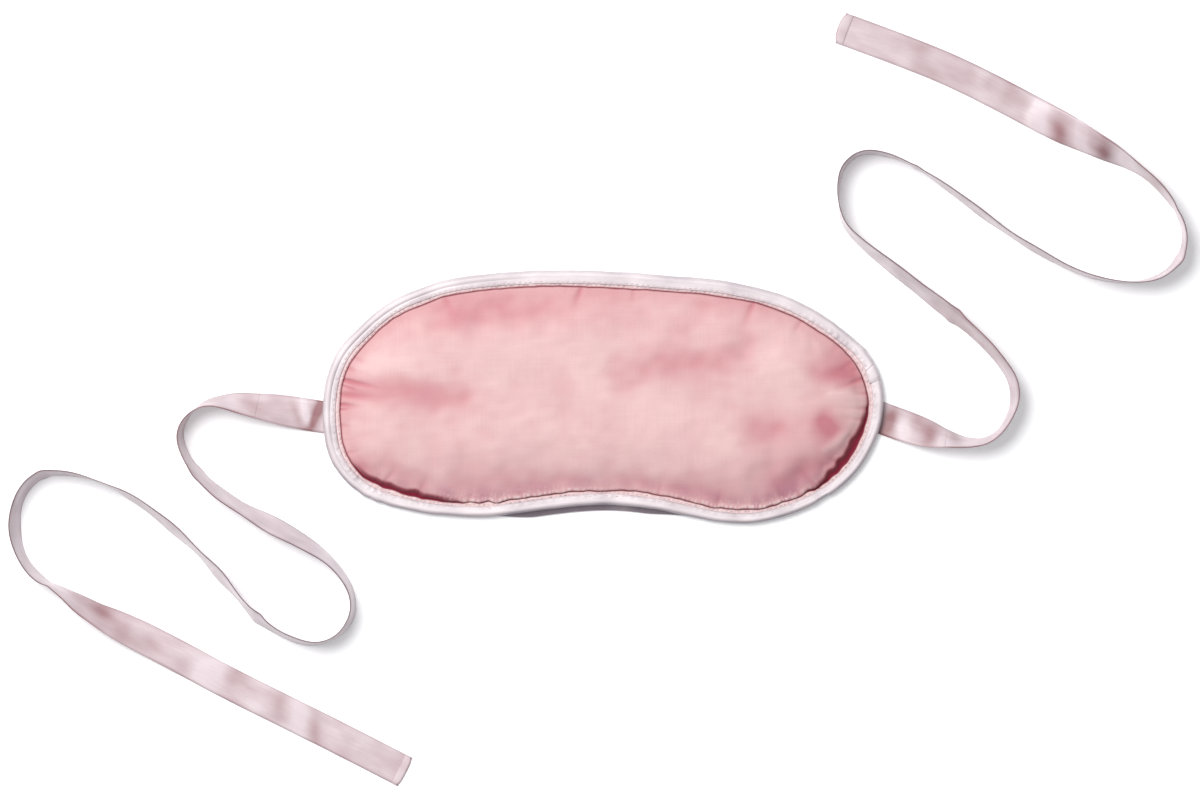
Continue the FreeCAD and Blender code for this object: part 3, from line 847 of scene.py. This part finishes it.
# Rings of a stitch: share of its length and of its radius.
THREAD_RINGS = [(0.0, 0.35), (0.12, 0.85), (0.5, 1.0), (0.88, 0.85), (1.0, 0.35)]


def capsule(start, end, radius):
    """Points of a short rounded thread between two points."""
    along = (end - start) / np.linalg.norm(end - start)
    side = np.cross(along, (0, 0, 1.0))
    side /= np.linalg.norm(side)
    up = np.cross(side, along)
    points = []
    for share, wide in THREAD_RINGS:
        centre = start + (end - start) * share
        for k in range(THREAD_SIDES):
            a = 2 * math.pi * k / THREAD_SIDES
            points.append(centre + (side * math.cos(a) + up * math.sin(a)) * radius * wide)
    return points


def thread_mesh(name, stitches):
    """One mesh of separate stitches, each a start, an end, a radius and a place in the row."""
    points, faces, uv = [], [], []
    quads = tube_faces(len(THREAD_RINGS), THREAD_SIDES)
    for start, end, radius, place in stitches:
        faces += [[i + len(points) for i in face] for face in quads]
        more = capsule(start, end, radius)
        points += more
        uv += [(place + 0.1 * MM * i, 0.0) for i in range(len(more))]
    return new_mesh(name, points, faces, uv)


def stitch_row(name, inset, height, pitch, length, radius, material, node, seed):
    """Separate stitches round the mask, with their sizes in mm."""
    draw = np.random.default_rng(seed)
    line = raised_line(inset * MM, height * MM)
    loop = np.vstack([line, line[:1]])
    at = distances(loop)
    count = int(at[-1] / (pitch * MM))
    half = length * MM / 2
    stitches = []
    for k in range(count):
        middle = (k + 0.5 + draw.uniform(-0.08, 0.08)) * at[-1] / count
        places = np.array([middle - half, middle + half]) % at[-1]
        start, end = np.column_stack([np.interp(places, at, loop[:, axis]) for axis in range(3)])
        stitches.append((start, end, radius * MM * draw.uniform(0.85, 1.15), middle))
    finish_layer(thread_mesh(name, stitches), material, node)


# ---- ribbons

RIBBON_WIDTH = 12 * MM
HALF_RIBBON = RIBBON_WIDTH / 2
RIBBON_THICK = 0.3 * MM
FLOOR_CLEAR = 0.2 * MM
ROUTE_STEPS = 28

# Each ribbon's route: x and y of its middle line and its lean, in metres. The lean is how far
# its upper edge lies to the right of its lower edge, seen along the way out. The ribbon lies
# flat where the lean is its whole width, and stands on edge where the lean is small.
LEFT_ROUTE = [
    (-0.1058, -0.0075, -0.012), (-0.1135, -0.0062, -0.012), (-0.1225, -0.0046, -0.0112),
    (-0.1315, -0.0031, -0.009), (-0.1405, -0.0017, -0.006), (-0.1490, -0.0019, -0.0028),
    (-0.1557, -0.0064, 0.0012), (-0.1594, -0.014, 0.0018), (-0.1562, -0.0234, 0.0020),
    (-0.149, -0.0323, 0.0028), (-0.1385, -0.0402, 0.0046), (-0.1255, -0.0474, 0.0062),
    (-0.1125, -0.0542, 0.0050), (-0.1018, -0.0616, 0.0032), (-0.0944, -0.0715, 0.0014),
    (-0.0932, -0.0815, 0.0011), (-0.0988, -0.090, 0.0012), (-0.1095, -0.0934, 0.0014),
    (-0.121, -0.0892, 0.0022), (-0.131, -0.0822, 0.0028), (-0.1393, -0.072, 0.0026),
    (-0.1495, -0.0602, 0.0033), (-0.1615, -0.049, 0.0034), (-0.175, -0.0384, 0.0024),
    (-0.1885, -0.0314, 0.0014), (-0.201, -0.0283, 0.0012), (-0.2115, -0.0286, 0.002),
    (-0.2186, -0.036, 0.0032), (-0.2212, -0.0465, 0.0036), (-0.2194, -0.058, 0.003),
    (-0.2133, -0.0673, 0.0016), (-0.2035, -0.0726, 0.0026), (-0.193, -0.080, 0.0074),
    (-0.180, -0.0868, 0.0112), (-0.163, -0.0955, 0.012), (-0.1426, -0.1067, 0.012),
    (-0.122, -0.1169, 0.012), (-0.098, -0.1288, 0.012), (-0.0744, -0.141, 0.012),
]
RIGHT_ROUTE = [
    (0.1058, -0.0083, 0.012), (0.113, -0.0109, 0.012), (0.1215, -0.0137, 0.0108),
    (0.130, -0.016, 0.0066), (0.1375, -0.0174, 0.003), (0.1448, -0.0166, 0.0012),
    (0.151, -0.011, 0.0012), (0.1549, -0.002, 0.0013), (0.154, 0.0065, 0.0014),
    (0.1492, 0.0136, 0.0024), (0.1432, 0.0205, 0.0038), (0.1345, 0.0284, 0.0042),
    (0.122, 0.038, 0.0038), (0.109, 0.0482, 0.0033), (0.0985, 0.0563, 0.0024),
    (0.091, 0.0635, 0.0014), (0.0886, 0.070, 0.0004), (0.088, 0.078, -0.0011),
    (0.0898, 0.0868, -0.0015), (0.097, 0.0923, -0.0016), (0.107, 0.091, -0.0014),
    (0.1185, 0.086, -0.0012), (0.133, 0.0758, -0.0013), (0.149, 0.0635, -0.0015),
    (0.165, 0.0534, -0.0014), (0.181, 0.0453, -0.0011), (0.196, 0.0426, 0.0011),
    (0.2085, 0.0442, 0.0014), (0.217, 0.0515, 0.0014), (0.2188, 0.062, 0.0012),
    (0.2142, 0.0722, 0.0012), (0.2068, 0.0812, 0.0016), (0.1965, 0.0885, 0.0038),
    (0.1842, 0.0950, 0.0086), (0.170, 0.1025, 0.012), (0.1508, 0.1129, 0.012),
    (0.131, 0.1228, 0.012), (0.111, 0.1308, 0.012), (0.0894, 0.1387, 0.012),
]
# The sewn end of each ribbon runs this far in under the tape.
SEWN_IN = 3.4 * MM
SEWN_Z = 0.14 * MM
# The ribbon is made in two, joined this far from the mask: a root that stands for the tab, and a
# free part that moves with the tie.
ROOT_LENGTH = 24 * MM

# Painted shade and painted highlights at a ribbon's creases and twists: distance from the mask in
# mm (from the free end if negative), place across (-1 to 1), change of tone (shade if positive),
# half length in mm and slant.
LEFT_SHADE_MARKS = [
    (2.2, 0, 1.0, 1.7, 0.25), (5.6, 0, -0.4, 1.2, -0.4), (9.5, 0.2, 0.4, 1.8, -0.5),
    (26, 0.3, 0.2, 8, 0), (52, 0, 0.2, 12, 0), (-131, -0.5, 0.55, 9, 0), (-110, 0.2, 0.2, 12, 0),
    (-82, 0, -0.3, 5, 0.2), (-73, 0, 0.2, 4, 0), (-62, 0, -0.12, 5, 0), (-53, -0.4, 0.25, 2.5, 0.2),
    (-45, 0, -0.35, 4, 0.4), (-38, 0.3, 0.35, 2.6, 0.5), (-3.8, 0, 0.1, 1.5, 0),
]
RIGHT_SHADE_MARKS = [
    (1.2, 0.5, 0.85, 2.6, 0), (3.4, 0.1, 0.5, 2.4, 0.2), (8.2, 0.1, -0.3, 2.8, 0),
    (12.6, -0.9, 0.25, 3.6, 0.2), (17.2, 0.1, 0.55, 3.4, 0.25), (22.6, 0.4, -0.3, 3.0, 0),
    (27, -0.5, 0.3, 3.0, 0), (88, 0, 0.25, 24, 0), (-133, 0, 0.4, 6, 0), (-118, 0, -0.3, 3.4, 0.3),
    (-109, -0.2, 0.8, 4.2, 0.3), (-99.5, 0, -0.4, 2.8, 0.5), (-90.5, -0.3, 0.8, 3.8, 0.4),
    (-81, 0, -0.4, 4.5, 0.4), (-68, 0.4, 0.3, 7, 0), (-40, 0, 0.1, 12, 0),
]
# Where an upright stretch keeps its pink instead of the painted grey shade: distance in mm as
# above, reach in mm and share.
LEFT_PINK = [(52, 22, 0.85), (-142, 12, 0.7), (-120, 14, 0.5), (95, 12, 0.3)]
RIGHT_PINK = [(40, 16, 0.5), (90, 26, 0.6), (-125, 14, 0.6), (-190, 40, 0.25)]
# Where an upright stretch leans over a little more: share of the length, lean and reach in mm.
LEFT_KINKS = [(0.15, 0.9, 3.0), (0.40, 1.1, 2.4), (0.60, 0.8, 2.4), (0.70, -1.0, 2.4)]
RIGHT_KINKS = [(0.205, 1.0, 2.2), (0.425, -0.7, 2.0), (0.66, 1.1, 2.6), (0.70, -0.6, 2.0)]


def route_points(name, route):
    """Points of the smooth curve through the route's control points, as (x, y, lean)."""
    data = bpy.data.curves.new(name, "CURVE")
    data.dimensions = "3D"
    spline = data.splines.new("NURBS")
    spline.points.add(len(route) - 1)
    for point, place in zip(spline.points, route):
        point.co = (*place, 1)
    spline.order_u = 3
    spline.use_endpoint_u = True
    spline.resolution_u = ROUTE_STEPS
    holder = bpy.data.objects.new(name, data)
    mesh = bpy.data.meshes.new_from_object(holder)
    points = points_of(mesh)
    bpy.data.objects.remove(holder)
    bpy.data.meshes.remove(mesh)
    return points


def ribbon_mesh(name, route, shade_marks, kinks, pink_spots, dark, seed):
    """A ribbon along its route, resting on its lower edge: its root and its free part, the
    place where it leaves the mask, and the middle line of the free part."""
    up_axis = np.array([0, 0, 1.0])
    flat = route * (1, 1, 0)
    inward = (flat[0] - flat[1]) / np.linalg.norm(flat[0] - flat[1])
    sewn = np.array([flat[0] + inward * SEWN_IN * share for share in (1, 0.8, 0.6, 0.4, 0.2)])
    flat = np.vstack([sewn, flat])
    leans = np.concatenate([np.full(len(sewn), route[0, 2]), route[:, 2]])
    steps = distances(flat) - SEWN_IN
    level = np.zeros(len(steps))
    total = steps[-1]

    def past(place):
        """How far each step is past a place, which is from the free end if negative."""
        return steps - (place if place > 0 else total / MM + place) * MM

    along = np.gradient(flat, axis=0)
    along /= np.linalg.norm(along, axis=1)[:, None]
    right = np.column_stack([along[:, 1], -along[:, 0], level])
    lean = leans / RIBBON_WIDTH
    upright = smooth((0.9 - np.abs(lean)) / 0.4)
    lean = lean + upright * 0.035 * soft_noise(steps, level, 24 * MM, seed)
    for share, size, reach in kinks:
        lean += upright * size * MM / RIBBON_WIDTH * bell(steps - share * total, reach * MM)
    lean = np.clip(lean, -1, 1)
    rise = np.sqrt(1 - lean**2)
    height = HALF_RIBBON * rise + FLOOR_CLEAR + SEWN_Z * smooth(-steps / SEWN_IN)
    middle = flat + up_axis * height[:, None]
    across = right * lean[:, None] + up_axis * rise[:, None]
    face = np.cross(across, along)
    up = face * np.sign(lean)[:, None]
    columns = np.linspace(-1, 1, 13)
    # Painted grey shade where the ribbon stands on edge, less where it keeps its pink.
    grey = 0.75 * smooth((0.78 - np.abs(lean)) / 0.35)
    for place, reach, share in pink_spots:
        grey = grey * (1 - share * bell(past(place), reach * MM))
    flatness = np.abs(lean) ** 4
    grid, tone = [], []
    for c in columns:
        side_way = level + c * HALF_RIBBON
        bulge = (0.14 + 0.14 * soft_noise(steps, level, 30 * MM, seed + 1)) * (1 - c * c)
        ripple = 0.1 * soft_noise(steps, side_way, 14 * MM, seed + 2)
        lift = np.maximum(bulge + ripple, 0) * flatness
        # Painted shade towards the upper edge where the ribbon stands upright, as much as dark.
        shade = 0.24 - 0.03 * upright + dark * (1 - np.abs(lean)) ** 4 * smooth((c - 0.35) / 0.6)
        shade = shade + 0.05 * soft_noise(steps, side_way, 10 * MM, seed + 3)
        for place, side, change, reach, slant in shade_marks:
            weight = bell(past(place) - slant * c * HALF_RIBBON, reach * MM)
            weight = weight * bell(c - side, 0.9 if side else 9)
            shade = shade + change * weight
            lift = lift - 0.22 * change * weight * flatness
        lift = lift * smooth(steps / (6 * MM)) * MM
        grid.append(middle + across * (c * HALF_RIBBON) + up * lift[:, None])
        # Painted shade along both edges of the ribbon, more where it stands upright and on its
        # upper edge.
        edge_shade = 0.08 + 0.5 * upright + 0.16 * (c > 0)
        tone.append(shade + edge_shade * (abs(c) > 0.9))
    half = face * RIBBON_THICK / 2 * np.sign(lean[0])
    points = np.stack([g + half for g in grid] + [g - half for g in grid[::-1]], axis=1)
    points[:, :, 2] = np.maximum(points[:, :, 2], 0.02 * MM)
    tones = np.clip(np.stack(tone + tone[::-1], axis=1), 0, 1)
    wide = np.concatenate([columns, columns[::-1]]) * HALF_RIBBON
    split = int(np.searchsorted(steps, ROOT_LENGTH))
    parts = []
    for label, rows in (("_root", slice(0, split + 1)), ("", slice(split, None))):
        n, m = points[rows].shape[:2]
        uv = np.column_stack([np.repeat(steps[rows], m), np.tile(wide, n)])
        part = new_mesh(
            name + label, points[rows].reshape(-1, 3), tube_faces(n, m), uv,
            tone=tones[rows], grey=np.repeat(grey[rows], m),
        )
        for cut_end in (-2, -1):
            part.data.polygons[cut_end].use_smooth = False
        parts.append(part)
    return parts, middle[len(sewn)], middle[split:]


# Rows of the hem: distance past the ribbon's end and height in mm, and painted shade, darkest round
# the folded end. The last two get more painted shade in the hem's crease.
HEM_ROWS = [
    (-3, -0.16, 0.3), (0, -0.16, 0.9), (0.2, 0.1, 1), (0.14, 0.34, 0.8), (-0.12, 0.52, 0.35),
    (-0.6, 0.56, 0.15), (-1.6, 0.5, 0.2), (-2.5, 0.46, 0.24), (-2.85, 0.38, 0.24), (-3, 0.16, 0.24),
]
HEM_DEPTH = 3


def end_hem(side, middle, bow, crease):
    """The turned hem at a ribbon's free end: a second layer folded over and stitched."""
    end, before = middle[-1], middle[-6]
    along = (end - before) / np.linalg.norm(end - before)
    level = np.array([along[1], -along[0], 0])
    columns = np.linspace(-1, 1, 11)
    points, tone, uv = [], [], []
    for k, (past, height, shade) in enumerate(HEM_ROWS):
        for c in columns:
            out = (bow * (1 - c * c) - 0.8 * abs(c) ** 7) * min(1, (HEM_DEPTH + past) / 2)
            spot = end + along * (past + out) * MM + level * c * (HALF_RIBBON - 0.05 * MM)
            points.append(spot + np.array([0, 0, height * MM]))
            tone.append(shade + (crease if k >= len(HEM_ROWS) - 2 else 0))
            uv.append((past * MM, c * HALF_RIBBON))
    w, h = len(columns), len(HEM_ROWS)
    faces = ring_faces(h, w, closed=True, open_rings=True)
    faces.append([r * w for r in range(h)])
    faces.append([r * w + w - 1 for r in range(h)][::-1])
    piece = new_mesh(f"{side}_tie_end_hem_fold", points, faces, uv, tone=tone)
    finish_piece(piece, RIBBON, [f"{side}_tie_end_hem"])
    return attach(piece, f"{side}_tie")


def ribbon_tie(side, route, shade_marks, kinks, pink_spots, dark, bow, crease, seed):
    """One tie with its hem. dark is how much painted shade its upper edge gets where it stands
    upright."""
    (root, piece), start, middle = ribbon_mesh(
        f"{side}_ribbon", route_points(f"{side}_route", route), shade_marks, kinks, pink_spots, dark, seed
    )
    finish_piece(root, RIBBON, [f"{side}_tie_tab"])
    finish_piece(piece, RIBBON, [f"{side}_tie_ribbon"])
    hem = end_hem(side, middle, bow, crease)
    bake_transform(root)
    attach(piece, f"{side}_tie")


# Turns of the zigzag, and radius of its thread.
TACK_TURNS = 16
TACK_THREAD = 0.055 * MM


def bar_tack(side):
    """A dense zigzag of thread over the sewn end of a ribbon, on the back of the mask."""
    low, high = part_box(f"{side}_bar_tack")
    x0, x1 = low.x + TACK_THREAD, high.x - TACK_THREAD
    z = (low.z + high.z) / 2
    places = np.linspace(low.y + TACK_THREAD, high.y - TACK_THREAD, 2 * TACK_TURNS + 1)
    corners = [np.array([x0 if k % 2 else x1, y, z]) for k, y in enumerate(places)]
    stitches = [(start, end, TACK_THREAD, 0.0) for start, end in zip(corners, corners[1:])]
    piece = thread_mesh(f"{side}_zigzag_tack", stitches)
    finish_piece(piece, TAPE_THREAD, [f"{side}_bar_tack"])
    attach(piece, f"{side}_half")


# ---- camera, light, floor


CAMERA_PLACE = (-0.0011, -0.0006, 2.4)
SENSOR = 36.0
# Width of the table that the picture shows.
SEEN_WIDTH = 0.4511

KEY_PLACE = (-0.66, 0.6, 1.6)
KEY_SIZE = 1.1
KEY_POWER = 34.0
SKY_POWER = 0.42
FLOOR_HALF = 3.0
FLOOR_Z = -0.05 * MM


def camera():
    """Looks straight down at the table."""
    data = bpy.data.cameras.new("camera")
    data.sensor_width = SENSOR
    data.lens = SENSOR * CAMERA_PLACE[2] / SEEN_WIDTH
    view = add_object("camera", data)
    view.location = CAMERA_PLACE
    bpy.context.scene.camera = view


def studio():
    """An even pale sky, one soft lamp at the upper left and a white table."""
    world = bpy.data.worlds.new("studio")
    world.use_nodes = True
    sky = world.node_tree.nodes["Background"].inputs
    sky["Color"].default_value = (0.97, 0.98, 1.0, 1)
    sky["Strength"].default_value = SKY_POWER
    bpy.context.scene.world = world
    data = bpy.data.lights.new("key", "AREA")
    data.shape = "DISK"
    data.size = KEY_SIZE
    data.energy = KEY_POWER
    data.color = (1.0, 0.99, 0.98)
    lamp = add_object("key", data)
    lamp.location = KEY_PLACE
    lamp.rotation_mode = "QUATERNION"
    lamp.rotation_quaternion = (-Vector(KEY_PLACE)).to_track_quat("-Z", "Y")
    bpy.context.scene.view_settings.view_transform = "Standard"
    mesh = bpy.data.meshes.new("floor")
    turns = ((-1, -1), (1, -1), (1, 1), (-1, 1))
    corners = [(x * FLOOR_HALF, y * FLOOR_HALF, FLOOR_Z) for x, y in turns]
    mesh.from_pydata(corners, [], [(0, 1, 2, 3)])
    floor = add_object("floor", mesh)
    n = Nodes("table")
    grain = n.noise(n.add("TexCoord", {}).outputs["Object"], 40, 2.0)
    floor.data.materials.append(n.surface({
        "Base Color": n.mix(grain, rgb(250, 250, 251), rgb(247, 248, 250)),
        "Roughness": 0.9,
        "Specular IOR Level": 0.1,
        "Emission Color": (1, 1, 1, 1),
        "Emission Strength": 0.17,
    }))


# ---- the object

camera()
studio()

ribbon_tie(
    "left", LEFT_ROUTE, LEFT_SHADE_MARKS, LEFT_KINKS, LEFT_PINK,
    dark=0.45, bow=0.2, crease=0.3, seed=41,
)
ribbon_tie(
    "right", RIGHT_ROUTE, RIGHT_SHADE_MARKS, RIGHT_KINKS, RIGHT_PINK,
    dark=0.6, bow=0.9, crease=0.1, seed=61,
)
for side in ("left", "right"):
    bar_tack(side)

front_cover()
padding()
blackout_layer()
back_lining()
edge_binding()
binding_join()
stitch_row(
    "flange_stitching", inset=DITCH / MM - 0.75, height=FLANGE_Z / MM + 0.1, pitch=1.7,
    length=1.1, radius=0.17, material=THREAD, node="flange_stitches", seed=51,
)
stitch_row(
    "front_stitching", inset=TAPE_WIDTH - 0.75, height=4.02, pitch=2.0,
    length=1.3, radius=0.13, material=THREAD, node="front_stitches", seed=52,
)
stitch_row(
    "back_stitching", inset=3.4, height=0.52, pitch=2.2,
    length=1.5, radius=0.13, material=TAPE_THREAD, node="back_stitches", seed=53,
)
